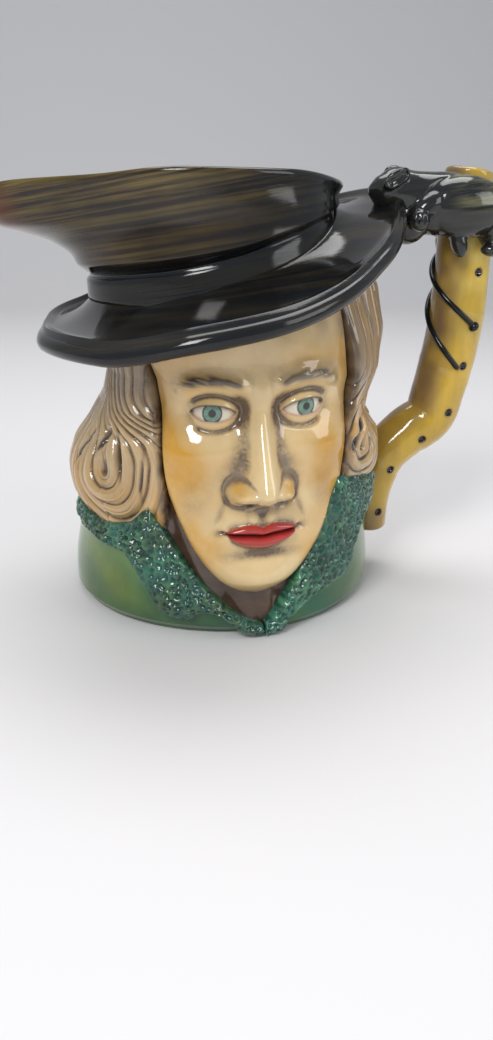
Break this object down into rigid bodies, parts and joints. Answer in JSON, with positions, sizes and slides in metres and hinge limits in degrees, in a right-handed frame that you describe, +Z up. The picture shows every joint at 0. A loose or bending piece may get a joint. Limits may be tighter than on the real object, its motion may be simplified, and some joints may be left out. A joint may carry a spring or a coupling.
{
  "type": "character jug",
  "caption": "Glazed earthenware jug in the form of a hatted head: the hat is the mouth and spout, and a bent pipe with a small animal on it is the handle.",
  "frame": {"origin": "centre of the flat foot, on the surface that the jug stands on", "axes": "+Z up, the face looks along -Y, the handle stands on +X and the spout pours towards -X"},
  "size_m": [0.2383, 0.1742, 0.19],
  "materials": {
    "bare_glaze": "clear glaze over cream earthenware",
    "black_glaze": "glossy black with olive brush streaks",
    "green_glaze": "glossy green, brushed",
    "fur_glaze": "glossy dark green over a curly texture",
    "brown_glaze": "glossy brown",
    "flesh_glaze": "glossy cream to ochre with a grey-brown wash",
    "hair_glaze": "glossy tan with a dark wash in the grooves",
    "ochre_glaze": "glossy yellow ochre shaded with brown"
  },
  "bodies": {
    "root": {"body_wall": "bare_glaze", "hat_crown": "black_glaze", "hat_brim": "black_glaze", "coat": "green_glaze", "collar_left": "fur_glaze", "collar_right": "fur_glaze", "shirt_front": "brown_glaze", "face": "flesh_glaze", "hair_left": "hair_glaze", "hair_right": "hair_glaze", "hair_back": "hair_glaze", "handle_pipe": "ochre_glaze", "rodent": "black_glaze", "cord_upper": "black_glaze", "cord_lower": "black_glaze"}
  },
  "joints": []
}
